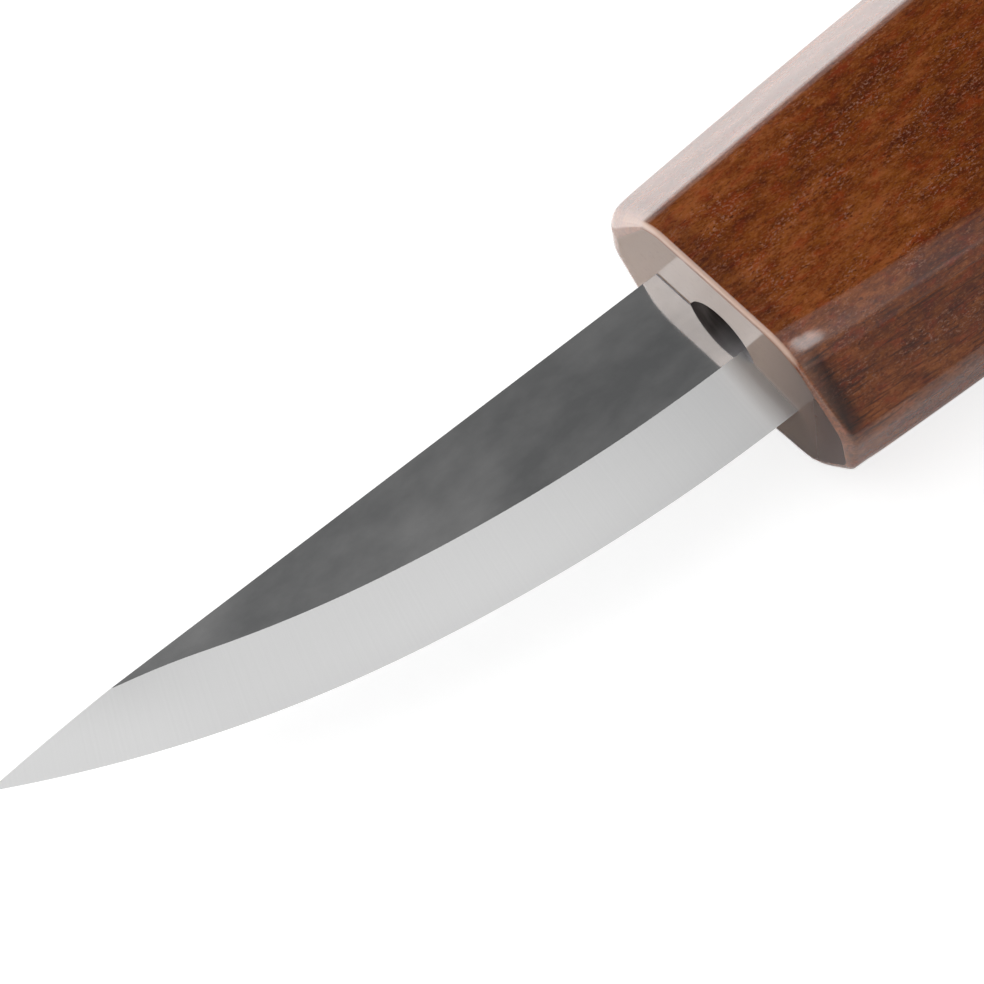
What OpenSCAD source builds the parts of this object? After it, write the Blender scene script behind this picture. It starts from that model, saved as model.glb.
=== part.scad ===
// Carving knife: a ground steel blade with a straight spine, in an eight-sided wooden handle.
// +X runs from the tip to the butt and +Y points to the spine. The knife lies on a flat side of its handle.

/* [Blade] */
// Length of the blade from the handle to the tip
blade_len = 63; // [52:1:78]
// Width of the blade at the handle
blade_w = 16; // [13:0.5:20]
// Thickness of the steel
blade_t = 2.5; // [1.5:0.1:4]
// Width of each bevel, square to the edge
bevel_w = 6.1; // [4:0.1:8]
// Radius of the edge beside the handle
belly_r = 148; // [132:1:180]
// Degrees that the edge turns along that radius before it tightens towards the tip
belly_turn = 13; // [8:0.5:16]

/* [Tang] */
// Width of the tang
tang_w = 6.6; // [5:0.2:9]
// Length of the tang inside the handle
tang_len = 46; // [30:1:70]
// Length over which the tang's end narrows
tang_point = 4; // [2:0.5:8]
// Width of the tang's narrow end
tang_end_w = 3; // [1:0.5:4.5]
// How far the middle of the tang lies from the handle's axis, towards the spine
tang_rise = 0.4; // [0:0.1:1]

/* [Handle] */
// Length of the handle
handle_len = 107; // [92:1:130]
// Height of the handle at its front end, from the edge side to the spine side
handle_front_h = 27.2; // [24:0.2:31]
// Height of the handle at its widest place
handle_max_h = 32; // [29:0.5:38]
// Distance from the front end to the widest place
handle_max_at = 60; // [45:1:75]
// Thickness of the handle between its two flat sides
handle_t = 15.4; // [14:0.2:22]
// How far each slanted facet cuts into the corner of the section
facet_cut = 5.6; // [3:0.1:6.5]
// Radius that softens the long edges between the facets
edge_round = 2.4; // [1:0.1:3]
// Radius round the front end
front_round = 1.2; // [0.5:0.1:2]
// Radius round the butt
butt_round = 6; // [3:0.1:6.5]

/* [Tang hole] */
// Gap between the tang's corners and the wall of the hole
tang_clearance = 0.17; // [0.1:0.01:0.5]
// Depth of the hole past the end of the tang
hole_spare = 4; // [1:0.5:10]
// Depth of the open pocket between the hole's mouth and the adhesive
mouth_depth = 6; // [2:0.5:12]
// Gap between the adhesive and the wall of the hole
bond_gap = 0.02; // [0.01:0.01:0.05]

/* [Hidden] */
overall_len = blade_len + handle_len;

// Fine enough that the drawn arcs stay within a few hundredths of a millimetre of the true ones
$fn = 360;

// The edge is two arcs that share a tangent: the belly's arc, and a tighter one that ends at the tip
belly_inward = [sin(belly_turn), cos(belly_turn)];
belly_centre = [0, belly_r - blade_w / 2];
arc_joint = belly_centre - belly_r * belly_inward;
tip = [-blade_len, blade_w / 2];
joint_from_tip = arc_joint - tip;
point_r = -(joint_from_tip * joint_from_tip) / (2 * belly_inward * joint_from_tip);
point_centre = arc_joint + point_r * belly_inward;

// The line square to the edge at the joint of the arcs, from outside the edge up to the spine
joint_outside = arc_joint - blade_w * belly_inward;
joint_on_spine = arc_joint + (blade_w / 2 - arc_joint.y) / belly_inward.y * belly_inward;

hole_d = norm([tang_w, blade_t]) + 2 * tang_clearance;
hole_depth = tang_len + hole_spare;

// Facets and the softened edges between them take turns round the section
section_step = 22.5;
section_bands = 8;
swell = (handle_max_h - handle_front_h) / 2;
edge_ease = edge_round * (1 / cos(section_step) - 1);
// How far the circle of an end round passes the outline, so that it crosses the outline and doesn't only touch it
round_lap = 0.06;

// Distance from the axis to the sharp section's furthest corner, at the front end, in a direction from +Y
function section_reach(turn) =
    let (half_h = handle_front_h / 2, half_t = handle_t / 2)
    max(half_h * abs(cos(turn)) + (half_t - facet_cut) * abs(sin(turn)),
        (half_h - facet_cut) * abs(cos(turn)) + half_t * abs(sin(turn)));

// Radius of the arc that rises by a swell between the front end and the widest place
function swell_radius(rise) = (handle_max_at ^ 2 + rise ^ 2) / (2 * rise);

// Half the width of a band of the handle at a distance x from the front end
function band_half(x, front_half, rise) =
    rise == 0 ? front_half
    : front_half + rise - swell_radius(rise) + sqrt(swell_radius(rise) ^ 2 - (x - handle_max_at) ^ 2);

// Puts a piece drawn from the middle of the handle's front end into the part's own frame
module placed() {
    translate([blade_len - overall_len / 2, 0, handle_t / 2]) children();
}

// Disc whose rim is ground from both sides to an edge
module ground_disc(radius) {
    rotate_extrude()
        polygon([[0, -blade_t / 2], [radius - bevel_w, -blade_t / 2], [radius, 0],
                 [radius - bevel_w, blade_t / 2], [0, blade_t / 2]]);
}

// Stretch of the blade under one arc of its edge, within an outline
module blade_stretch(centre, radius, outline) {
    intersection() {
        translate([centre.x, centre.y, 0]) ground_disc(radius);
        linear_extrude(height = 2 * blade_t, center = true) polygon(outline);
    }
}

// Flat bar that runs back from the blade and narrows at its end
module tang() {
    translate([0, tang_rise, 0]) linear_extrude(height = blade_t, center = true)
        polygon([[0, -tang_w / 2], [tang_len - tang_point, -tang_w / 2], [tang_len, -tang_end_w / 2],
                 [tang_len, tang_end_w / 2], [tang_len - tang_point, tang_w / 2], [0, tang_w / 2]]);
}

module blade() {
    below = -2 * blade_w;
    past_tip = -blade_len - blade_w;
    color([0.74, 0.75, 0.76]) placed() union() {
        blade_stretch(belly_centre, belly_r,
                      [[0, blade_w / 2], joint_on_spine, joint_outside, [0, below]]);
        blade_stretch(point_centre, point_r,
                      [joint_on_spine, [past_tip, blade_w / 2], [past_tip, below], joint_outside]);
        tang();
    }
}

// What a round of a given radius takes off the upper corner of an outline that starts at x = 0
module corner_waste(radius, half_width) {
    difference() {
        translate([-radius, half_width - radius]) square([2 * radius, 4 * radius]);
        translate([radius - round_lap, half_width - radius + round_lap]) circle(radius);
    }
}

// Outline of the handle across two opposite facets, with its corners rounded
module band_outline(front_half, rise) {
    difference() {
        intersection() {
            translate([0, -handle_max_h]) square([handle_len, 2 * handle_max_h]);
            if (rise == 0)
                translate([0, -front_half]) square([handle_len, 2 * front_half]);
            else
                intersection_for (side = [-1, 1])
                    translate([handle_max_at, side * (front_half + rise - swell_radius(rise))])
                        circle(swell_radius(rise), $fn = 1440);
        }
        for (side = [0, 1]) mirror([0, side]) {
            corner_waste(front_round, band_half(front_round, front_half, rise));
            translate([handle_len, 0]) mirror([1, 0])
                corner_waste(butt_round, band_half(handle_len - butt_round, front_half, rise));
        }
    }
}

// Solid between two opposite facets of the handle, or between two opposite softened edges
module facet_band(index) {
    turn = section_step * index;
    ease = index % 2 == 1 ? edge_ease : 0;
    rotate([turn, 0, 0])
        linear_extrude(height = 3 * handle_max_h, center = true)
            band_outline(section_reach(turn) - ease, swell * abs(cos(turn)));
}

module handle() {
    color([0.36, 0.19, 0.11]) placed() difference() {
        intersection_for (index = [0 : section_bands - 1]) facet_band(index);
        translate([-hole_depth, tang_rise, 0]) rotate([0, 90, 0]) cylinder(d = hole_d, h = 2 * hole_depth);
    }
}

module tang_epoxy() {
    color([0.20, 0.17, 0.14]) placed() difference() {
        translate([mouth_depth, tang_rise, 0]) rotate([0, 90, 0])
            cylinder(d = hole_d - 2 * bond_gap, h = hole_depth - bond_gap - mouth_depth);
        tang();
    }
}

blade();
handle();
tang_epoxy();
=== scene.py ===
"""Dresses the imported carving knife: a ground steel blade in a faceted, lacquered walnut handle."""
import logging
import math
from dataclasses import dataclass
from enum import Enum
from typing import Any

import bmesh
import bpy
from bmesh.types import BMEdge, BMesh, BMFace, BMVert
from bpy.types import Material, Node, NodeSocket, NodeTree, Object
from mathutils import Matrix, Vector


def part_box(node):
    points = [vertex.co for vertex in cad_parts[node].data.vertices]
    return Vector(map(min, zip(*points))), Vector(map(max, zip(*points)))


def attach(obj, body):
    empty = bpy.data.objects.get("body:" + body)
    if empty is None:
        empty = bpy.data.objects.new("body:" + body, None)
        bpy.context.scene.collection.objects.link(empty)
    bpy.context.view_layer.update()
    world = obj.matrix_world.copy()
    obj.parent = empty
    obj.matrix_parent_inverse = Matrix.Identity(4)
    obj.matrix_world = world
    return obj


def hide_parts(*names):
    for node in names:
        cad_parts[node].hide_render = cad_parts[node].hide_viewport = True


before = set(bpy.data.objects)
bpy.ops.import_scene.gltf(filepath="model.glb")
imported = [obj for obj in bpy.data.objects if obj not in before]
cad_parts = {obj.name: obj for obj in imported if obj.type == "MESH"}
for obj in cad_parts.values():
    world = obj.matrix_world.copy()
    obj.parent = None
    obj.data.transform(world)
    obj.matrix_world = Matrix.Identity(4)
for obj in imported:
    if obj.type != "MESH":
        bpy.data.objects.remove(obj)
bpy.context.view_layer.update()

log = logging.getLogger("carving_knife")

Colour = tuple[float, float, float, float]
Triple = tuple[float, float, float]
Span = tuple[float, float]
Stop = tuple[float, str]

MM = 0.001
# Distance in mm within which two points count as one
TOUCH = 1e-4
# Tangent of half the turn between neighbouring facets of the handle
HALF_TURN_TAN = math.tan(math.radians(22.5))
# Sizes that the blade and the handle share: the tang's hole and its rise over the axis in mm, and the end's lean
HOLE_WIDTH = 7.4
HOLE_RISE = 0.4
FRONT_LEAN = 1.2


class Layer(Enum):
    """Attributes that a mesh carries for its material."""

    EDGE_RUN = "edge_run"
    # The painted highlight on the front rim, and the darker band just behind it
    RIM_PAINTED_HIGHLIGHT = "rim_wear"
    RIM_DARK_BAND = "rim_stain"


class BladeFace(Enum):
    """Which finish a face of the blade takes."""

    FLAT = 0
    BEVEL = 1
    TANG = 2


class HandleFace(Enum):
    """Which finish a face of the handle takes."""

    OUTSIDE = 0
    END = 1
    BORE = 2


class Facing(Enum):
    """Which way a lamp faces."""

    KNIFE = "knife"
    DOWN = "down"
    UP = "up"


class Lights(Enum):
    """Which part of a surface's look a lamp gives."""

    ALL = "all"
    GLOSS = "gloss"
    MATT = "matt"


def linear(hex_code: str) -> Colour:
    """Turns an sRGB hex colour into the linear colour that shaders use.

    Args:
        hex_code: The colour as six hex digits.

    Returns:
        Red, green, blue and an alpha of 1.
    """
    parts = [int(hex_code[start:start + 2], 16) / 255 for start in (0, 2, 4)]
    red, green, blue = (c / 12.92 if c <= 0.04045 else ((c + 0.055) / 1.055) ** 2.4 for c in parts)
    return red, green, blue, 1.0


def grey(level: float) -> Colour:
    """Gives a linear grey, which may be brighter than white."""
    return level, level, level, 1.0


def add_node(tree: NodeTree, kind: str, inputs: dict[str | int, Any] | None = None,
             stops: list[tuple[float, Colour]] | None = None, **settings: Any) -> Node:
    """Adds one node with its settings, its values and its links.

    Args:
        tree: The node tree to add to.
        kind: The node's type.
        inputs: A value or another node's output for each input, by its name or number.
        stops: The places and colours of a colour ramp.
        settings: The node's own properties.

    Returns:
        The new node.
    """
    node = tree.nodes.new(kind)
    for name, value in settings.items():
        setattr(node, name, value)
    for key, value in (inputs or {}).items():
        if isinstance(value, NodeSocket):
            tree.links.new(value, node.inputs[key])
        else:
            node.inputs[key].default_value = value
    for index, (place, colour) in enumerate(stops or []):
        ramp = node.color_ramp
        element = ramp.elements[index] if index < 2 else ramp.elements.new(place)
        element.position, element.color = place, colour
    return node


def new_material(name: str) -> tuple[Material, NodeTree]:
    """Starts a node material and gives it with its tree, which is empty."""
    material = bpy.data.materials.new(name)
    material.use_nodes = True
    material.node_tree.nodes.clear()
    return material, material.node_tree


def end_material(tree: NodeTree, inputs: dict[str | int, Any]) -> None:
    """Adds a material's shader, with its values and links, and its output."""
    shader = add_node(tree, "ShaderNodeBsdfPrincipled", inputs)
    add_node(tree, "ShaderNodeOutputMaterial", {"Surface": shader.outputs[0]})


def object_place(tree: NodeTree) -> NodeSocket:
    """Adds the place of a point on its object, in metres."""
    return add_node(tree, "ShaderNodeTexCoord").outputs["Object"]


def remap(tree: NodeTree, value: NodeSocket, span: Span = (0.0, 1.0), low: Any = 0.0, high: Any = 1.0,
          **settings: Any) -> NodeSocket:
    """Turns one span of values into another and holds it at its ends.

    Args:
        tree: The node tree to add to.
        value: The value to turn.
        span: Where the low and the high result are reached.
        low: The low result, as a number or another node's output.
        high: The high result, likewise.
        settings: The node's own properties.

    Returns:
        The result.
    """
    return add_node(tree, "ShaderNodeMapRange",
                    {"Value": value, "From Min": span[0], "From Max": span[1], "To Min": low, "To Max": high},
                    **settings).outputs[0]


def across(tree: NodeTree, place: NodeSocket, span_mm: Span, high: float = 1.0) -> NodeSocket:
    """Gives a share that grows across the knife, from 0 at one place in mm to a high value at another."""
    along_y = add_node(tree, "ShaderNodeSeparateXYZ", {0: place}).outputs["Y"]
    return remap(tree, along_y, (span_mm[0] * MM, span_mm[1] * MM), high=high)


def times(tree: NodeTree, value: NodeSocket, factor: Any) -> NodeSocket:
    """Multiplies a value by a number or by another node's output."""
    return add_node(tree, "ShaderNodeMath", {0: value, 1: factor}, operation="MULTIPLY").outputs[0]


def shaded(tree: NodeTree, value: NodeSocket, *stops: Stop) -> NodeSocket:
    """Colours a value by a ramp, whose stops come as the two outer ones and then any between."""
    return add_node(tree, "ShaderNodeValToRGB", {"Fac": value},
                    [(place, linear(code)) for place, code in stops]).outputs[0]


def blend(tree: NodeTree, share: NodeSocket, under: Any, over: str, mode: str = "MIX") -> NodeSocket:
    """Lays a share of one colour over another.

    Args:
        tree: The node tree to add to.
        share: How much of the upper colour shows.
        under: The lower colour, or another node's output.
        over: The upper colour as six hex digits.
        mode: How the colours mix.

    Returns:
        The mixed colour.
    """
    return add_node(tree, "ShaderNodeMix", {0: share, 6: under, 7: linear(over)}, data_type="RGBA",
                    blend_type=mode).outputs[2]


def bump(tree: NodeTree, height: NodeSocket, depth_mm: float, **normal: NodeSocket) -> NodeSocket:
    """Roughens a surface by a pattern; a negative depth sinks it, and Normal names the surface under it."""
    return add_node(tree, "ShaderNodeBump",
                    {"Height": height, "Strength": 1.0, "Distance": abs(depth_mm) * MM, **normal},
                    invert=depth_mm < 0).outputs[0]


@dataclass(frozen=True)
class Pattern:
    """A cloudy pattern: its size in mm along, across and through the knife, its fineness and its turn in degrees."""

    size_mm: Triple
    detail: float
    roughness: float = 0.5
    turn: float = 0.0

    def draw(self, tree: NodeTree, place: NodeSocket, shift: Triple = (0.0, 0.0, 0.0)) -> NodeSocket:
        """Adds the pattern to a material.

        Args:
            tree: The material's node tree.
            place: The place of a point, in metres.
            shift: How far the pattern is moved, in its own sizes.

        Returns:
            The pattern's value, from 0 to 1.
        """
        if self.turn:
            turn = (0.0, 0.0, math.radians(self.turn))
            place = add_node(tree, "ShaderNodeMapping", {"Vector": place, "Rotation": turn}).outputs[0]
        scale = Vector([1 / size for size in self.size_mm]) / MM
        spread = add_node(tree, "ShaderNodeMapping", {"Vector": place, "Scale": scale, "Location": shift})
        return add_node(tree, "ShaderNodeTexNoise", {"Vector": spread.outputs[0], "Scale": 1.0, "Detail": self.detail,
                                                     "Roughness": self.roughness}).outputs[0]


@dataclass(frozen=True)
class PolishedSteel:
    """High-carbon steel, rolled and polished: a dark mirror with cloudy patches left by hand polishing."""

    dull: Stop = (0.35, "c6c7c8")
    bright: Stop = (0.68, "f2f2f2")
    clouds: Pattern = Pattern((9.0, 5.4, 5.4), 5.0, 0.55)
    roughness_dull: float = 0.10
    roughness_bright: float = 0.05

    def make(self) -> Material:
        """Builds the steel of the blade's flats and spine."""
        material, tree = new_material("polished_carbon_steel")
        cloud = self.clouds.draw(tree, object_place(tree))
        tone = shaded(tree, cloud, self.dull, self.bright)
        rough = remap(tree, cloud, low=self.roughness_dull, high=self.roughness_bright)
        end_material(tree, {"Base Color": tone, "Metallic": 1.0, "Roughness": rough})
        return material


@dataclass(frozen=True)
class GroundSteel:
    """The same steel, ground and honed square to the edge: a pale, even satin with barely any cross lines."""

    dull: Stop = (0.3, "bcbcbc")
    bright: Stop = (0.7, "bebebe")
    # Real grit lines are about 0.05 mm apart, too fine to show here, so they are drawn coarser
    line_mm: float = 0.2
    line_detail: float = 3.0
    line_depth_mm: float = 0.00001
    roughness: float = 0.29

    def make(self) -> Material:
        """Builds the steel of the blade's bevels."""
        material, tree = new_material("ground_carbon_steel")
        run = add_node(tree, "ShaderNodeAttribute", attribute_name=Layer.EDGE_RUN.value)
        lines = add_node(tree, "ShaderNodeTexNoise",
                         {"W": run.outputs["Fac"], "Scale": 1 / self.line_mm, "Detail": self.line_detail},
                         noise_dimensions="1D").outputs[0]
        tone = shaded(tree, lines, self.dull, self.bright)
        end_material(tree, {"Base Color": tone, "Metallic": 1.0, "Roughness": self.roughness,
                            "Normal": bump(tree, lines, self.line_depth_mm)})
        return material


@dataclass(frozen=True)
class ScaledSteel:
    """Steel left as it was forged, under its mill scale: a matt blue-grey with darker patches."""

    dull: Stop = (0.35, "6a676b")
    bright: Stop = (0.65, "8f8c90")
    clouds: Pattern = Pattern((1.6, 1.6, 1.6), 4.0)
    roughness: float = 0.55

    def make(self) -> Material:
        """Builds the steel of the tang, and of the fine line of painted shade along the seam."""
        material, tree = new_material("forge_scaled_steel")
        cloud = self.clouds.draw(tree, object_place(tree))
        tone = shaded(tree, cloud, self.dull, self.bright)
        end_material(tree, {"Base Color": tone, "Roughness": self.roughness})
        return material


@dataclass(frozen=True)
class LacqueredWalnut:
    """Walnut, planed, sanded and brushed with clear lacquer: flecked orange-brown grain under a wet gloss.

    A colour has its own name, a pattern the plural. A span says between which values of a pattern a colour
    comes in, and a share how much of it shows.
    """

    dark: Stop = (0.41, "501e04")
    middle: Stop = (0.505, "6d3307")
    light: Stop = (0.6, "8b4b20")
    pore: str = "3c1704"
    dust: str = "945b3b"
    bloom: str = "8a7670"
    ruddy: str = "842b08"
    golden: str = "82460e"
    # Pale pink painted on the front rim as the highlight that the rounded rim catches
    painted_highlight: str = "c9ac9c"
    # Dark brown multiplied into a band just behind the front rim
    rim_darkening: str = "4a2e20"
    bands: Pattern = Pattern((18.0, 4.5, 4.5), 2.0, 0.6, -10.0)
    mottles: Pattern = Pattern((2.6, 1.1, 1.1), 4.0, 0.9, 1.0)
    pores: Pattern = Pattern((0.55, 0.19, 0.19), 2.0, 0.8, 1.0)
    dusts: Pattern = Pattern((0.36, 0.2, 0.2), 2.0, 0.8, 1.0)
    clusters: Pattern = Pattern((5.0, 2.2, 2.2), 2.0, 0.6, -10.0)
    hues: Pattern = Pattern((1.8, 0.9, 0.9), 2.0, 0.7, 1.0)
    lines: Pattern = Pattern((4.0, 0.26, 0.26), 2.0, 0.7, 6.0)
    waves: Pattern = Pattern((6.0, 2.5, 2.5), 0.0, 0.5, 1.0)
    shift: Triple = (8.96, 8.92, 6.12)
    band_share: float = 0.4
    mottle_share: float = 0.6
    ruddy_span: Span = (0.52, 0.68)
    golden_span: Span = (0.48, 0.32)
    hue_share: float = 0.45
    cluster_span: Span = (0.46, 0.66)
    dust_span: Span = (0.52, 0.72)
    dust_shares: Span = (0.5, 0.95)
    bloom_share: float = 0.4
    pore_span: Span = (0.54, 0.7)
    pore_shares: Span = (0.65, 1.0)
    line_span: Span = (0.53, 0.66)
    line_across_mm: Span = (-6.0, -9.0)
    line_share: float = 0.8
    roughness: float = 0.5
    lacquer_roughness: float = 0.12
    lacquer_ior: float = 1.5
    pit_mm: float = 0.0005
    wave_depth_mm: float = 0.03

    def make(self) -> Material:
        """Builds the material.

        Returns:
            The wood of the handle under its lacquer.
        """
        material, tree = new_material("lacquered_walnut")
        place = object_place(tree)
        bands, mottles, pores, dusts, clusters, hues, lines, waves = (
            pattern.draw(tree, place, self.shift)
            for pattern in (self.bands, self.mottles, self.pores, self.dusts, self.clusters, self.hues, self.lines,
                            self.waves))
        figure = add_node(tree, "ShaderNodeMath",
                          {0: mottles, 1: self.mottle_share, 2: times(tree, bands, self.band_share)},
                          operation="MULTIPLY_ADD").outputs[0]
        colour = shaded(tree, figure, self.dark, self.light, self.middle)
        for tint, span in ((self.ruddy, self.ruddy_span), (self.golden, self.golden_span)):
            colour = blend(tree, remap(tree, hues, span, high=self.hue_share), colour, tint)
        gathered = remap(tree, clusters, self.cluster_span)
        specks, pits = (
            remap(tree, pattern, span, high=remap(tree, gathered, low=low, high=high))
            for pattern, span, (low, high) in ((dusts, self.dust_span, self.dust_shares),
                                               (pores, self.pore_span, self.pore_shares)))
        haze = times(tree, times(tree, gathered, self.bloom_share), specks)
        edge_side = across(tree, place, self.line_across_mm, self.line_share)
        long_pores = remap(tree, lines, self.line_span, high=edge_side)
        for share, tint in ((specks, self.dust), (haze, self.bloom), (pits, self.pore), (long_pores, self.pore)):
            colour = blend(tree, share, colour, tint)
        # A highlight is painted on the front rim, and a darker band is laid just behind it
        for layer, tint, mode in ((Layer.RIM_DARK_BAND, self.rim_darkening, "MULTIPLY"), (Layer.RIM_PAINTED_HIGHLIGHT, self.painted_highlight, "MIX")):
            share = add_node(tree, "ShaderNodeAttribute", attribute_name=layer.value).outputs["Fac"]
            colour = blend(tree, share, colour, tint, mode)
        sanding = bump(tree, waves, self.wave_depth_mm)
        skin = bump(tree, pits, -self.pit_mm, Normal=sanding)
        # The lacquer meets the wood with no air between them, so only the coat reflects
        end_material(tree, {"Base Color": colour, "Roughness": self.roughness, "Specular IOR Level": 0.0,
                            "Coat Weight": 1.0, "Coat Roughness": self.lacquer_roughness,
                            "Coat IOR": self.lacquer_ior, "Coat Normal": skin})
        return material


@dataclass(frozen=True)
class SealedEndGrain:
    """Walnut sawn across the grain, sanded and sealed: pale and dusty, with a gloss, and painted brown as shade at
    the edge side, below the blade.
    """

    pale: str = "937b6b"
    # Brown painted at the edge side as the shade under the blade
    painted_shade: str = "3e2217"
    fleck: str = "6d5547"
    shade_to_pale_across_mm: Span = (-11.0, -4.0)
    flecks: Pattern = Pattern((0.35, 0.7, 0.35), 4.0, 0.7)
    fleck_span: Span = (0.55, 0.8)
    fleck_share: float = 0.3
    roughness: float = 0.5
    seal: float = 0.72
    seal_roughness: float = 0.12
    seal_ior: float = 1.5

    def make(self) -> Material:
        """Builds the wood of the handle's front face."""
        material, tree = new_material("sealed_walnut_end_grain")
        place = object_place(tree)
        # The edge side, in the blade's shadow, is painted brown as shade
        tone = blend(tree, across(tree, place, self.shade_to_pale_across_mm), linear(self.painted_shade), self.pale)
        flecked = remap(tree, self.flecks.draw(tree, place), self.fleck_span, high=self.fleck_share)
        end_material(tree, {"Base Color": blend(tree, flecked, tone, self.fleck), "Roughness": self.roughness,
                            "Specular IOR Level": 0.0, "Coat Weight": self.seal,
                            "Coat Roughness": self.seal_roughness, "Coat IOR": self.seal_ior})
        return material


@dataclass(frozen=True)
class BoredWalnut:
    """Walnut as the drill left it: a dull wall that drinks light, painted paler at its edge side as the light that
    reaches in there.
    """

    dark: Stop = (0.35, "776c68")
    light: Stop = (0.65, "a69b97")
    # Near white painted on the edge side of the wall as light falling into the hole
    painted_light: str = "efeaec"
    painted_light_across_mm: Span = (2.2, -0.8)
    rings: Pattern = Pattern((0.5, 3.0, 3.0), 3.0)
    roughness: float = 0.45

    def make(self) -> Material:
        """Builds the wood of the hole's wall."""
        material, tree = new_material("bored_walnut")
        place = object_place(tree)
        tone = shaded(tree, self.rings.draw(tree, place), self.dark, self.light)
        # The edge side of the wall is painted paler as light
        colour = blend(tree, across(tree, place, self.painted_light_across_mm), tone, self.painted_light)
        end_material(tree, {"Base Color": colour, "Roughness": self.roughness})
        return material


@dataclass(frozen=True)
class CuredEpoxy:
    """Epoxy, poured and cured with wood dust in it: a dark brown, slightly cloudy gloss."""

    dark: Stop = (0.35, "2c221b")
    light: Stop = (0.7, "43352a")
    clouds: Pattern = Pattern((1.5, 1.5, 1.5), 4.0)
    roughness: float = 0.3

    def make(self) -> Material:
        """Builds the adhesive round the tang."""
        material, tree = new_material("cured_epoxy")
        dust = self.clouds.draw(tree, object_place(tree))
        tone = shaded(tree, dust, self.dark, self.light)
        end_material(tree, {"Base Color": tone, "Roughness": self.roughness})
        return material


def front_centre() -> Vector:
    """Finds the middle of the handle's front end in metres, the point from which the pieces are drawn."""
    low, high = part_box("handle")
    return Vector((low[0], (low[1] + high[1]) / 2, (low[2] + high[2]) / 2))


def finished_piece(bm: BMesh, name: str, materials: list[Material]) -> Object:
    """Moves a piece drawn in millimetres into the part's frame and makes its object.

    Args:
        bm: The drawn piece, which is freed.
        name: The piece's name.
        materials: The materials of its slots.

    Returns:
        The new object, at the origin.
    """
    into_frame = Matrix.Translation(front_centre()) @ Matrix.Scale(MM, 4)
    bmesh.ops.transform(bm, matrix=into_frame, verts=bm.verts)
    for face in bm.faces:
        face.smooth = True
    mesh = bpy.data.meshes.new(name)
    bm.to_mesh(mesh)
    bm.free()
    for material in materials:
        mesh.materials.append(material)
    piece = bpy.data.objects.new(name, mesh)
    bpy.context.scene.collection.objects.link(piece)
    return piece


def new_verts(result: dict[str, list[Any]]) -> list[BMVert]:
    """Picks the vertices out of what an operator made."""
    return [item for item in result["geom"] if isinstance(item, BMVert)]


def cut_faces(bm: BMesh, faces: list[BMFace], foot: Vector, way: Vector) -> list[BMFace]:
    """Cuts some faces of a mesh along a plane.

    Args:
        bm: The mesh.
        faces: The faces to cut.
        foot: A point of the plane.
        way: The way that the plane faces.

    Returns:
        The faces on both sides of the cut.
    """
    parts = dict.fromkeys(item for face in faces for item in (face, *face.edges, *face.verts))
    cut = bmesh.ops.bisect_plane(bm, geom=list(parts), dist=TOUCH, plane_co=foot, plane_no=way)["geom"]
    return [item for item in cut if isinstance(item, BMFace)]


def smooth_step(value: float, start: float, end: float) -> float:
    """Rises smoothly from 0 at the start to 1 at the end."""
    share = min(1.0, max(0.0, (value - start) / (end - start)))
    return share * share * (3 - 2 * share)


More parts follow.
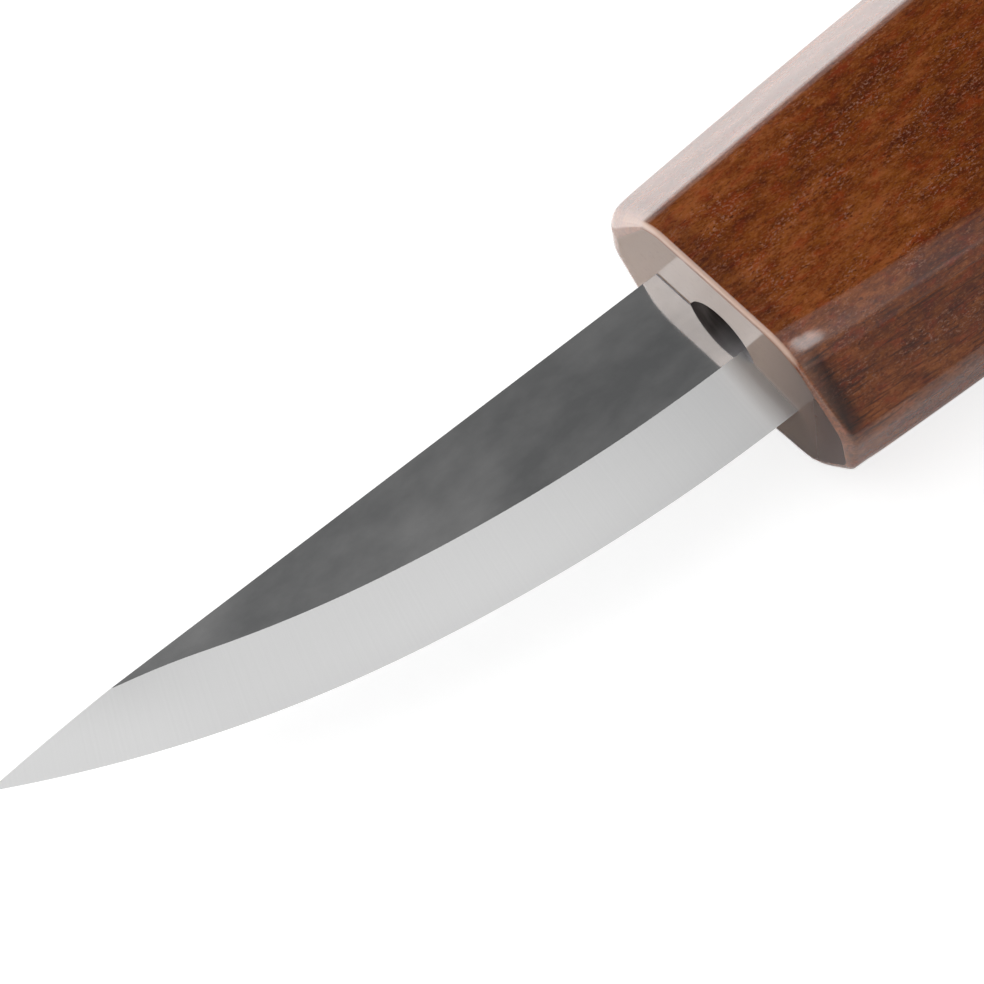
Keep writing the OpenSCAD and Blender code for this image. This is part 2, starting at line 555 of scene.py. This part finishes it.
@dataclass
class Blade:
    """Steel blade with a straight spine, an edge of two arcs, a bevel on each side and a tang; mm and degrees.

    Distances named from, run and to are measured along the edge from the handle.
    """

    length: float = 63.0
    aim: float = 63.35
    width: float = 16.0
    spare_width: float = 2.0
    spare_turn: float = 1.5
    thickness: float = 2.5
    bevel: float = 6.1
    bevel_rows: int = 6
    belly_radius: float = 148.0
    belly_turn: float = 13.0
    narrow_from: float = 48.5
    narrow_run: float = 8.8
    narrow_to: float = 55.8
    crown: float = 0.4
    crown_from: float = 44.0
    crown_to: float = 60.0
    spine_drop: float = 0.32
    spine_turn: float = 0.48
    root: float = 0.4
    seam: float = 0.1
    polish: float = 3.0
    tang_width: float = 6.6
    tang_length: float = 46.0
    tang_point: float = 4.0
    tang_end: float = 3.0
    edge_land: float = 0.03
    spine_ease: float = 0.12
    ease_steps: int = 2
    belly_steps: int = 40
    point_steps: int = 60
    crease: float = 8.0

    def __post_init__(self) -> None:
        """Works out the second arc of the edge, which ends just past the tip, and the line of the spine."""
        turn = math.radians(self.belly_turn)
        inward = Vector((math.sin(turn), math.cos(turn), 0.0))
        self.belly_centre = Vector((0.0, self.belly_radius - self.width / 2, 0.0))
        joint = self.belly_centre - self.belly_radius * inward
        self.past_tip = Vector((-self.aim, self.width / 2, 0.0))
        chord = joint - self.past_tip
        self.point_radius = -chord.length_squared / (2 * inward.dot(chord))
        self.point_centre = joint + self.point_radius * inward
        lift = math.radians(self.spine_turn)
        self.spine_foot = Vector((0.0, self.width / 2 - self.spine_drop, 0.0))
        self.spine_way = Vector((math.sin(lift), math.cos(lift), 0.0))

    def build(self) -> Object:
        """Models the blade and its tang as one closed mesh.

        Returns:
            The blade's object.
        """
        bm = bmesh.new()
        self._spin_edge(bm)
        self._hone(bm)
        self._cut_outline(bm)
        self._draw_tang(bm)
        bmesh.ops.recalc_face_normals(bm, faces=bm.faces)
        self._ease_spine(bm)
        # A fine line of shade is painted in the seam where the blade enters the handle
        self._paint_seam_shade(bm)
        self._mark(bm)
        return finished_piece(bm, "blade_ground",
                              [PolishedSteel().make(), GroundSteel().make(), ScaledSteel().make()])

    def dress(self, piece: Object) -> None:
        """Ties the piece to the CAD blade."""
        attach(piece, "root")
        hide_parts("blade")

    def _spin_edge(self, bm: BMesh) -> None:
        """Spins the blade's section along the two arcs of its edge, a little past the tip."""
        edge, half = -self.width / 2, self.thickness / 2
        section = [(self.width / 2 + self.spare_width, half)]
        for row in range(self.bevel_rows, 0, -1):
            level = row / self.bevel_rows
            section.append((edge + self.bevel * level, half * level))
        section.append((edge, self.edge_land / 2))
        section += [(y, -z) for y, z in reversed(section)]
        verts = [bm.verts.new((0.0, y, z)) for y, z in section]
        geom: list[Any] = [*verts, *(bm.edges.new(pair) for pair in zip(verts, verts[1:]))]
        to_tip = self.past_tip - self.point_centre
        point_turn = math.atan2(-to_tip.x, -to_tip.y) - math.radians(self.belly_turn)
        spare = math.radians(self.spare_turn)
        for centre, turn, steps in ((self.belly_centre, math.radians(self.belly_turn), self.belly_steps),
                                    (self.point_centre, point_turn + spare, self.point_steps)):
            spun = bmesh.ops.spin(bm, geom=geom, cent=centre, axis=(0.0, 0.0, 1.0), dvec=(0.0, 0.0, 0.0),
                                  angle=-turn, steps=steps, use_merge=False, use_duplicate=False)
            geom = spun["geom_last"]
        bmesh.ops.remove_doubles(bm, verts=bm.verts, dist=TOUCH)

    def _place(self, point: Vector) -> tuple[float, float, Vector]:
        """Finds a point's place by the edge.

        Args:
            point: The point, from the middle of the handle's front end.

        Returns:
            The run along the edge from the handle, the distance inside the edge, and the way inwards.
        """
        belly_turn = math.radians(self.belly_turn)
        arm = self.belly_centre - Vector((point.x, point.y, 0.0))
        turn = math.atan2(arm.x, arm.y)
        if turn <= belly_turn:
            return self.belly_radius * turn, self.belly_radius - arm.length, arm.normalized()
        arm = self.point_centre - Vector((point.x, point.y, 0.0))
        run = self.belly_radius * belly_turn + self.point_radius * (math.atan2(arm.x, arm.y) - belly_turn)
        return run, self.point_radius - arm.length, arm.normalized()

    def _hone(self, bm: BMesh) -> None:
        """Narrows and crowns the bevels towards the tip, and gives them their finish and their crisp line."""
        half, levels = self.thickness / 2, {}
        for vert in bm.verts:
            run, inside, inward = self._place(vert.co)
            level = levels[vert] = inside / self.bevel
            if level > 1 + TOUCH:
                continue
            narrow = (max(0.0, min(run, self.narrow_to) - self.narrow_from) / self.narrow_run) ** 2
            crown = self.crown * smooth_step(run, self.crown_from, self.crown_to)
            vert.co -= inward * narrow * level
            if level > TOUCH:
                height = half * ((1 - crown) * level + crown * (1 - (1 - level) ** 2))
                vert.co.z = math.copysign(height, vert.co.z)
        for face in bm.faces:
            if max(levels[v] for v in face.verts) < 1 + TOUCH:
                face.material_index = BladeFace.BEVEL.value
        for edge in bm.edges:
            edge.smooth = not all(abs(levels[v] - 1) < TOUCH for v in edge.verts)

    @staticmethod
    def _on_plane(bm: BMesh, foot: Vector, way: Vector) -> list[BMEdge]:
        """Lists the edges that lie in a plane."""
        return [e for e in bm.edges if all(abs((v.co - foot).dot(way)) < TOUCH for v in e.verts)]

    @staticmethod
    def _square_faces(bm: BMesh, x: float) -> list[BMFace]:
        """Lists the faces that lie square across the knife at a distance behind the handle's front end."""
        return [f for f in bm.faces if all(abs(v.co.x - x) < TOUCH for v in f.verts)]

    def _cut_outline(self, bm: BMesh) -> None:
        """Cuts the blade off along its spine and at its tip, and closes it there and at the handle."""
        tip, root = Vector((-self.length, 0.0, 0.0)), Vector((0.0, 0.0, 0.0))
        forward = Vector((-1.0, 0.0, 0.0))
        for foot, way in ((self.spine_foot, self.spine_way), (tip, forward)):
            bmesh.ops.bisect_plane(bm, geom=[*bm.verts, *bm.edges, *bm.faces], dist=TOUCH, plane_co=foot,
                                   plane_no=way, clear_outer=True)
        on_spine = dict.fromkeys(v for e in self._on_plane(bm, self.spine_foot, self.spine_way) for v in e.verts)
        for foot in (root, tip):
            ends = [v for v in on_spine if abs(v.co.x - foot.x) < TOUCH]
            if len(ends) == 2 and not bm.edges.get(ends):
                bm.edges.new(ends)
        for foot, way in ((self.spine_foot, self.spine_way), (root, forward), (tip, forward)):
            bmesh.ops.contextual_create(bm, geom=self._on_plane(bm, foot, way))

    def _draw_tang(self, bm: BMesh) -> None:
        """Sinks the blade's end into the wood, cuts the tang's width out of it and draws the tang back."""
        sunk = bmesh.ops.extrude_discrete_faces(bm, faces=self._square_faces(bm, 0.0))["faces"][0]
        bmesh.ops.translate(bm, vec=(self.root, 0.0, 0.0), verts=sunk.verts[:])
        for side in (-1, 1):
            cut_faces(bm, self._square_faces(bm, self.root),
                      Vector((0.0, HOLE_RISE + side * self.tang_width / 2, 0.0)), Vector((0.0, 1.0, 0.0)))
        stem = min(self._square_faces(bm, self.root), key=lambda f: abs(f.calc_center_bounds().y - HOLE_RISE))
        for run, narrow in ((self.polish - self.root, 1.0),
                            (self.tang_length - self.tang_point - self.polish, 1.0),
                            (self.tang_point, self.tang_end / self.tang_width)):
            stem = bmesh.ops.extrude_discrete_faces(bm, faces=[stem])["faces"][0]
            verts = list(stem.verts)
            bmesh.ops.translate(bm, vec=(run, 0.0, 0.0), verts=verts)
            bmesh.ops.scale(bm, vec=(1.0, narrow, 1.0), verts=verts,
                            space=Matrix.Translation((0.0, -HOLE_RISE, 0.0)))
        for face in bm.faces:
            if face.calc_center_median().x > self.polish:
                face.material_index = BladeFace.TANG.value

    def _ease_spine(self, bm: BMesh) -> None:
        """Takes the sharpness off the spine's two long edges, where they run along the flats."""
        half = self.thickness / 2
        long_edges = [e for e in self._on_plane(bm, self.spine_foot, self.spine_way)
                      if all(abs(abs(v.co.z) - half) < TOUCH for v in e.verts)
                      and abs(e.verts[0].co.z - e.verts[1].co.z) < TOUCH]
        bmesh.ops.bevel(bm, geom=long_edges, offset=self.spine_ease, offset_type="OFFSET", segments=self.ease_steps,
                        profile=0.5, affect="EDGES", material=-1, clamp_overlap=True)
        # Where the ease runs out near the tip, it leaves doubled points
        bmesh.ops.remove_doubles(bm, verts=bm.verts, dist=TOUCH)

    def _paint_seam_shade(self, bm: BMesh) -> None:
        """Paints a fine line of shade in the seam, in the tang's dark steel, on the flats along the leaning front end
        and past the hole.
        """
        along_front = Vector((1.0, math.tan(math.radians(FRONT_LEAN)), 0.0)).normalized()
        past_hole = HOLE_RISE + math.sqrt(HOLE_WIDTH ** 2 - self.thickness ** 2) / 2
        line = [f for f in bm.faces if f.material_index == BladeFace.FLAT.value and f.calc_center_median().x < 0]
        for foot, way in ((Vector((-self.seam, 0.0, 0.0)), along_front),
                          (Vector((0.0, past_hole, 0.0)), Vector((0.0, 1.0, 0.0)))):
            line = [f for f in cut_faces(bm, line, foot, way) if (f.calc_center_median() - foot).dot(way) > 0]
        # These faces take the tang's dark steel as painted shade
        for face in line:
            face.material_index = BladeFace.TANG.value

    def _mark(self, bm: BMesh) -> None:
        """Gives each real corner its crease and each vertex its run along the edge."""
        for edge in bm.edges:
            if edge.calc_face_angle(math.pi) > math.radians(self.crease):
                edge.smooth = False
        run = bm.verts.layers.float.new(Layer.EDGE_RUN.value)
        for vert in bm.verts:
            vert[run] = self._place(vert.co)[0]


@dataclass(frozen=True)
class RimMarks:
    """Where a highlight is painted on the handle's front rim, and where a darker band lies just behind it.

    The spans from in to out are distances behind the front end in mm, where a mark comes in or fades out. A share
    says how strong a mark is.
    """

    flat_below: Span = (1.6, 0.8)
    facet_left: float = 0.8
    # Where the painted rim highlight runs along the flats, the edge side and the spine side
    highlight_in: Span = (0.0, 0.03)
    highlight_out: Span = (0.2, 0.36)
    edge_highlight_out: Span = (0.2, 0.9)
    edge_highlight_share: float = 0.13
    spine_highlight_out: Span = (0.6, 1.7)
    spine_highlight_share: float = 0.4
    # The darker band just behind the front rim
    darkening_in: Span = (0.2, 0.6)
    darkening_out: Span = (1.2, 2.6)
    darkening_on_flat: float = 0.4
    darkening_above_side: Span = (1.0, 0.2)


@dataclass
class Handle:
    """Walnut handle with eight long facets, widest behind the middle, with the mouth of the tang's hole.

    Sizes are in mm. The facets and rounds are named for the side that they lie on: spine, edge and under side.
    """

    length: float = 107.0
    front_height: float = 28.1
    max_height: float = 31.98
    max_at: float = 60.0
    thickness: float = 15.4
    facet_cut: float = 5.6
    spine_facet: float = 5.95
    edge_facet: float = 6.7
    under_facet: float = 5.7
    spine_ridge_round: float = 3.2
    edge_ridge_round: float = 5.0
    under_ridge_round: float = 9.0
    spine_side_round: float = 2.0
    edge_side_round: float = 2.6
    edge_tuck: float = 0.2
    edge_taper: float = 1.15
    taper_run: float = 24.0
    front_round: float = 1.7
    side_rim_round: float = 0.9
    base_round: float = 1.4
    crisp_round: float = 0.5
    facet_left: float = 1 / 3
    front_ease: float = 0.15
    ease_run: float = 3.5
    butt_round: float = 4.6
    hole_depth: float = 50.0
    lean_run: float = 8.0
    round_steps: int = 6
    ease_steps: int = 4
    body_steps: int = 28
    butt_steps: int = 10
    end_margin: float = 0.3
    hole_steps: int = 64
    marks: RimMarks = RimMarks()

    def build(self) -> Object:
        """Models the handle as one closed mesh with its drilled hole.

        Returns:
            The handle's object.
        """
        bm = bmesh.new()
        self._draw_section(bm)
        front, butt = self._draw_out(bm)
        self._shape(bm)
        bmesh.ops.edgeloop_fill(bm, edges=butt)
        self._drill(bm, front)
        self._mark_rim(bm)
        self._lean_front(bm)
        bmesh.ops.recalc_face_normals(bm, faces=bm.faces)
        piece = finished_piece(bm, "handle_walnut",
                               [LacqueredWalnut().make(), SealedEndGrain().make(), BoredWalnut().make()])
        flat_facets = piece.modifiers.new("flat_facets", "WEIGHTED_NORMAL")
        flat_facets.keep_sharp = True
        return piece

    def dress(self, piece: Object) -> None:
        """Ties the piece to the CAD handle."""
        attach(piece, "root")
        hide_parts("handle")

    def _draw_section(self, bm: BMesh) -> None:
        """Draws the eight-sided section at the front end, with its corners rounded, most on the under side."""
        half_h, half_t = self.front_height / 2, self.thickness / 2
        low = half_t - self.facet_cut
        upper = [(half_h, low), (half_h - self.spine_facet, half_t), (self.edge_facet - half_h, half_t),
                 (self.edge_tuck - half_h, low)]
        under = [(self.edge_tuck - half_h, -low), (self.under_facet - half_h, -half_t),
                 (half_h - self.spine_facet, -half_t), (half_h, -low)]
        corners = [bm.verts.new((0.0, y, z)) for y, z in upper + under]
        bm.faces.new(corners)
        spine_high, spine_top, edge_top, edge_high, edge_low, edge_under, spine_under, spine_low = corners
        for verts, radius in (([spine_high, spine_low], self.spine_side_round),
                              ([spine_top, spine_under], self.spine_ridge_round),
                              ([edge_top], self.edge_ridge_round),
                              ([edge_under], self.under_ridge_round),
                              ([edge_high, edge_low], self.edge_side_round)):
            bmesh.ops.bevel(bm, geom=verts, offset=radius * HALF_TURN_TAN, offset_type="OFFSET",
                            segments=self.round_steps, profile=0.5, affect="VERTICES", material=-1)
        bmesh.ops.delete(bm, geom=bm.faces[:], context="FACES_ONLY")

    def _stations(self) -> list[float]:
        """Lists the places along the handle where its section is set, from the front end to the butt."""
        rim = self.front_round
        front = [rim * (1 - math.cos(math.radians(90 * i / self.round_steps))) for i in range(self.round_steps)]
        ease = [rim + (self.ease_run - rim) * i / self.ease_steps for i in range(self.ease_steps)]
        body = self.length - self.ease_run - self.butt_round
        middle = [self.ease_run + body * i / self.body_steps for i in range(self.body_steps)]
        butt = [self.length - self.butt_round * (1 - math.sin(math.radians(90 * i / self.butt_steps)))
                for i in range(self.butt_steps + 1)]
        return front + ease + middle + butt

    def _draw_out(self, bm: BMesh) -> tuple[list[BMEdge], list[BMEdge]]:
        """Draws the section out along the handle, station by station.

        Args:
            bm: The mesh that holds the section.

        Returns:
            The open rings of edges at the front end and at the butt.
        """
        stations = self._stations()
        front = ring = bm.edges[:]
        for here, there in zip(stations, stations[1:]):
            verts = new_verts(bmesh.ops.extrude_edge_only(bm, edges=ring))
            bmesh.ops.translate(bm, vec=(there - here, 0.0, 0.0), verts=verts)
            ring = self._between(verts)
        return front, ring

    @staticmethod
    def _between(verts: list[BMVert]) -> list[BMEdge]:
        """Lists the edges that join vertices of one ring."""
        ring = set(verts)
        return list(dict.fromkeys(e for v in verts for e in v.link_edges if e.other_vert(v) in ring))

    def _shape(self, bm: BMesh) -> None:
        """Swells the handle, tapers its upper edge-side facet, and draws its section in at the rounded ends."""
        rise = (self.max_height - self.front_height) / 2
        swell_radius = (self.max_at ** 2 + rise ** 2) / (2 * rise)
        half_t = self.thickness / 2
        for vert in bm.verts:
            x, y, z = vert.co
            swell = rise - swell_radius + math.sqrt(swell_radius ** 2 - (x - self.max_at) ** 2)
            half_h = self.front_height / 2 + swell
            inset = self.front_ease * max(0.0, 1 - x / self.ease_run) ** 2
            if x < self.front_round:
                radius = self._rim_radius(y, z)
                x *= radius / self.front_round
                inset += self._round_inset(radius, x)
            elif x > self.length - self.butt_round:
                inset = self._round_inset(self.butt_round, self.length - x)
            if y < 0 and z > half_t / 2:
                y -= self.edge_taper * (1 - max(0.0, 1 - x / self.taper_run) ** 2)
            y += math.copysign(swell, y)
            y -= math.copysign(inset * self._share(abs(y), half_h), y)
            z -= math.copysign(inset * self._share(abs(z), half_t), z)
            vert.co = (x, y, z)

    def _rim_radius(self, y: float, z: float) -> float:
        """Gives the round of the front rim, which is crisp but for the narrow sides and the under side.

        Args:
            y: The place across the section, towards the spine.
            z: The place through the section, upwards.

        Returns:
            The radius there.
        """
        half_h, half_t, left = self.front_height / 2, self.thickness / 2, self.facet_left
        spine = smooth_step(y, half_h - self.spine_facet, half_h - self.spine_facet * left) * self.front_round
        side = smooth_step(-y, half_h - self.edge_facet, half_h - self.edge_facet * left) * self.side_rim_round
        side *= smooth_step(z, -half_t / 2, 0.0)
        base = smooth_step(-z, half_t - self.facet_cut * left, half_t) * self.base_round
        return max(self.crisp_round, spine, side, base)

    @staticmethod
    def _round_inset(radius: float, depth: float) -> float:
        """Gives how far a round of an end draws the section in at a depth from that end."""
        return radius - math.sqrt(max(0.0, radius ** 2 - (radius - depth) ** 2))

    def _share(self, reach: float, half: float) -> float:
        """Gives the share of an inset that a point takes, so that every facet moves in by the same distance.

        Args:
            reach: The point's distance from the middle, along one axis of the section.
            half: Half the section's size along that axis.

        Returns:
            A share from 0 in the middle to 1 at the outside.
        """
        corner = half - self.facet_cut
        if reach < corner:
            return HALF_TURN_TAN * reach / corner
        return HALF_TURN_TAN + (1 - HALF_TURN_TAN) * (reach - corner) / self.facet_cut

    def _drill(self, bm: BMesh, front: list[BMEdge]) -> None:
        """Closes the front end round the mouth of the hole, and draws the hole's wall and end."""
        margin = new_verts(bmesh.ops.extrude_edge_only(bm, edges=front))
        bmesh.ops.scale(bm, vec=(1.0, 1 - 2 * self.end_margin / self.front_height,
                                 1 - 2 * self.end_margin / self.thickness), verts=margin)
        place = Matrix.Translation((0.0, HOLE_RISE, 0.0)) @ Matrix.Rotation(math.radians(90), 4, "Y")
        mouth = bmesh.ops.create_circle(bm, cap_ends=False, radius=HOLE_WIDTH / 2, segments=self.hole_steps,
                                        matrix=place)["verts"]
        rim = list(dict.fromkeys(e for v in mouth for e in v.link_edges))
        bmesh.ops.triangle_fill(bm, use_beauty=True, edges=self._between(margin) + rim, normal=(-1.0, 0.0, 0.0))
        for face in bm.faces:
            if max(abs(v.co.x) for v in face.verts) < TOUCH:
                face.material_index = HandleFace.END.value
        wall = new_verts(bmesh.ops.extrude_edge_only(bm, edges=rim))
        bmesh.ops.translate(bm, vec=(self.hole_depth, 0.0, 0.0), verts=wall)
        end = self._between(wall)
        bmesh.ops.edgeloop_fill(bm, edges=end)
        for face in {f for v in wall for f in v.link_faces}:
            face.material_index = HandleFace.BORE.value
        for edge in rim + end:
            edge.smooth = False

    def _mark_rim(self, bm: BMesh) -> None:
        """Marks where a highlight is painted on the front rim, full along the flats and weaker at the sides, and
        where a darker band lies just behind the rim, along the flats and beside the edge side.
        """
        painted_highlight_layer, rim_darkening = (bm.verts.layers.float.new(layer.value) for layer in (Layer.RIM_PAINTED_HIGHLIGHT, Layer.RIM_DARK_BAND))
        half_h, half_t, marks = self.front_height / 2, self.thickness / 2, self.marks
        flat_from, flat_full = (half_t - below for below in marks.flat_below)
        darkening_ends = [half_h - above for above in marks.darkening_above_side]
        for vert in bm.verts:
            x, y, z = vert.co
            on_flat = smooth_step(abs(z), flat_from, flat_full)
            edge_side, spine_side = (
                smooth_step(reach, half_h - facet, half_h - facet * marks.facet_left)
                for reach, facet in ((-y, self.edge_facet), (y, self.spine_facet)))
            # The rim's painted highlight: full along the flats, weaker on the edge and spine sides
            painted_highlight = smooth_step(x, *marks.highlight_in) * (1 - smooth_step(x, *marks.highlight_out))
            edge_side_highlight = edge_side * (1 - smooth_step(x, *marks.edge_highlight_out))
            spine_side_highlight = spine_side * (1 - smooth_step(x, *marks.spine_highlight_out))
            vert[painted_highlight_layer] = max(on_flat * (1 - edge_side) * painted_highlight, marks.edge_highlight_share * edge_side_highlight,
                             marks.spine_highlight_share * spine_side_highlight)
            # A darker band just behind the rim, along the flats and beside the edge side
            band = smooth_step(x, *marks.darkening_in) * (1 - smooth_step(x, *marks.darkening_out))
            vert[rim_darkening] = band * max(marks.darkening_on_flat * on_flat, edge_side * (1 - smooth_step(-y, *darkening_ends)))

    def _lean_front(self, bm: BMesh) -> None:
        """Leans the front end a little, so that its spine side stands forward."""
        slope = math.tan(math.radians(FRONT_LEAN))
        for vert in bm.verts:
            share = max(0.0, 1 - vert.co.x / self.lean_run)
            vert.co.x -= vert.co.y * slope * share


@dataclass(frozen=True)
class Softbox:
    """A soft studio lamp: its place from the handle's front end and its size in metres, and its brightness."""

    name: str
    place: Triple
    width: float
    height: float
    radiance: float
    facing: Facing = Facing.KNIFE
    lights: Lights = Lights.ALL

    def hang(self) -> None:
        """Hangs the lamp where the camera doesn't see it; one for gloss alone is oval."""
        lamp = bpy.data.lights.new(self.name, "AREA")
        lamp.shape, lamp.size, lamp.size_y = "RECTANGLE", self.width, self.height
        area = self.width * self.height
        if self.lights is Lights.GLOSS:
            lamp.shape, area = "ELLIPSE", area * math.pi / 4
        lamp.energy = self.radiance * math.pi * area
        holder = bpy.data.objects.new(self.name, lamp)
        holder.location = front_centre() + Vector(self.place)
        if self.facing is Facing.KNIFE:
            holder.rotation_euler = (-Vector(self.place)).to_track_quat("-Z", "Y").to_euler()
        elif self.facing is Facing.UP:
            holder.rotation_euler = (math.pi, 0.0, 0.0)
        holder.visible_camera = False
        holder.visible_diffuse = self.lights is not Lights.GLOSS
        holder.visible_glossy = self.lights is not Lights.MATT
        bpy.context.scene.collection.objects.link(holder)


@dataclass(frozen=True)
class Studio:
    """White floor, dim room with a pale horizon, soft lamps and the camera, whose eye is in mm from the front end."""

    floor_size: float = 3.0
    floor_drop: float = 0.1
    floor_colour: str = "f2f2f2"
    floor_shade: float = 0.35
    floor_glow: float = 0.8
    floor_mirror: float = 1.5
    room_tip: float = 0.36
    room_butt: float = 0.10
    room_span: Span = (-0.1, 0.4)
    horizon_dim: float = 0.15
    horizon_pale: float = 0.6
    horizon_way: Triple = (0.45, -0.89, 0.0)
    horizon_span: Span = (0.0, 0.7)
    horizon_fade: Span = (0.45, 0.8)
    lamps: tuple[Softbox, ...] = (
        Softbox("tip_side_softbox", (-0.50, 0.55, 0.67), 1.2, 0.8, 2.8, Facing.KNIFE, Lights.MATT),
        Softbox("tip_side_sheen", (-0.50, 0.55, 0.67), 1.3, 0.9, 0.95, Facing.KNIFE, Lights.GLOSS),
        Softbox("tip_side_window", (-0.33, 0.45, 0.83), 0.58, 0.48, 2.7, Facing.KNIFE, Lights.GLOSS),
        Softbox("overhead_softbox", (-0.145, -0.075, 0.90), 0.95, 0.75, 0.93, Facing.DOWN),
        Softbox("spine_side_card", (0.05, 0.16, -0.007), 0.9, 0.28, 1.35, Facing.UP, Lights.GLOSS),
        Softbox("spine_side_wall", (0.15, 0.50, 0.06), 0.9, 0.14, 0.9, Facing.KNIFE, Lights.GLOSS),
        Softbox("edge_side_strip", (0.35, -0.76, 0.88), 1.1, 0.8, 0.62, Facing.DOWN, Lights.GLOSS),
        Softbox("edge_side_spark", (0.13, -0.22, 0.87), 0.09, 0.32, 7.0, Facing.DOWN, Lights.GLOSS),
    )
    eye: Triple = (-109.706, -156.937, 315.145)
    right: Triple = (0.7653, -0.63499, -0.10537)
    up: Triple = (0.59575, 0.6368, 0.48945)
    lens: float = 180.05
    sensor: float = 36.0
    clip: Span = (0.01, 20.0)

    def build(self) -> None:
        """Sets the floor, the room, the lamps and the camera."""
        self._lay_floor()
        self._paint_room()
        for lamp in self.lamps:
            lamp.hang()
        self._set_camera()
        bpy.context.scene.view_settings.view_transform = "Standard"

    def _lay_floor(self) -> None:
        """Lays a matt white floor under the knife, brighter to the eye and in reflections than in its bounce."""
        bm = bmesh.new()
        bmesh.ops.create_grid(bm, x_segments=1, y_segments=1, size=self.floor_size,
                              matrix=Matrix.Translation((0.0, 0.0, -self.floor_drop * MM)))
        mesh = bpy.data.meshes.new("floor")
        bm.to_mesh(mesh)
        bm.free()
        material, tree = new_material("matt_white_floor")
        path = add_node(tree, "ShaderNodeLightPath").outputs
        mirrored = add_node(tree, "ShaderNodeMath", {0: path["Is Glossy Ray"], 1: path["Is Transmission Ray"]},
                            operation="MAXIMUM").outputs[0]
        plain, mirror, shade = (
            add_node(tree, "ShaderNodeBsdfDiffuse", {"Color": colour}).outputs[0]
            for colour in (linear(self.floor_colour), grey(self.floor_mirror), grey(self.floor_shade)))
        glow = add_node(tree, "ShaderNodeEmission", {"Strength": self.floor_glow}).outputs[0]
        seen = add_node(tree, "ShaderNodeAddShader", {0: shade, 1: glow}).outputs[0]
        mix = plain
        for share, other in ((mirrored, mirror), (path["Is Camera Ray"], seen)):
            mix = add_node(tree, "ShaderNodeMixShader", {0: share, 1: mix, 2: other}).outputs[0]
        add_node(tree, "ShaderNodeOutputMaterial", {"Surface": mix})
        mesh.materials.append(material)
        floor = bpy.data.objects.new("floor", mesh)
        bpy.context.scene.collection.objects.link(floor)

    def _paint_room(self) -> None:
        """Paints the room: pale low round the horizon, dim above it."""
        world = bpy.data.worlds.new("studio_room")
        world.use_nodes = True
        tree = world.node_tree
        tree.nodes.clear()
        way = add_node(tree, "ShaderNodeTexCoord").outputs["Generated"]
        along, _, height = add_node(tree, "ShaderNodeSeparateXYZ", {0: way}).outputs
        room = remap(tree, along, self.room_span, self.room_tip, self.room_butt)
        towards = add_node(tree, "ShaderNodeVectorMath", {0: way, 1: self.horizon_way}, operation="DOT_PRODUCT")
        horizon = remap(tree, towards.outputs["Value"], self.horizon_span, self.horizon_dim, self.horizon_pale)
        glow = remap(tree, height, self.horizon_fade, horizon, room, interpolation_type="SMOOTHSTEP")
        paint = add_node(tree, "ShaderNodeBackground", {"Color": grey(1.0), "Strength": glow})
        add_node(tree, "ShaderNodeOutputWorld", {"Surface": paint.outputs[0]})
        bpy.context.scene.world = world

    def _set_camera(self) -> None:
        """Sets the camera where the picture was taken from."""
        lens = bpy.data.cameras.new("camera")
        lens.lens, lens.sensor_width, lens.sensor_fit = self.lens, self.sensor, "HORIZONTAL"
        lens.clip_start, lens.clip_end = self.clip
        camera = bpy.data.objects.new("camera", lens)
        right, up = Vector(self.right).normalized(), Vector(self.up).normalized()
        turn = Matrix((right, up, right.cross(up))).transposed().to_4x4()
        camera.matrix_world = Matrix.Translation(front_centre() + Vector(self.eye) * MM) @ turn
        bpy.context.scene.collection.objects.link(camera)
        bpy.context.scene.camera = camera


def dress_epoxy() -> Object:
    """Gives the CAD adhesive its finish, and gives back its object."""
    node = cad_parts["tang_epoxy"]
    node.data.materials.clear()
    node.data.materials.append(CuredEpoxy().make())
    return node


def main() -> None:
    """Builds the studio and the knife, and reports each piece."""
    logging.basicConfig(level=logging.INFO, format="%(name)s: %(message)s")
    Studio().build()
    for part in (Blade(), Handle()):
        piece = part.build()
        part.dress(piece)
        log.info("%s: %d faces", piece.name, len(piece.data.polygons))
    log.info("%s: finish only", dress_epoxy().name)


if __name__ == "__main__":
    main()
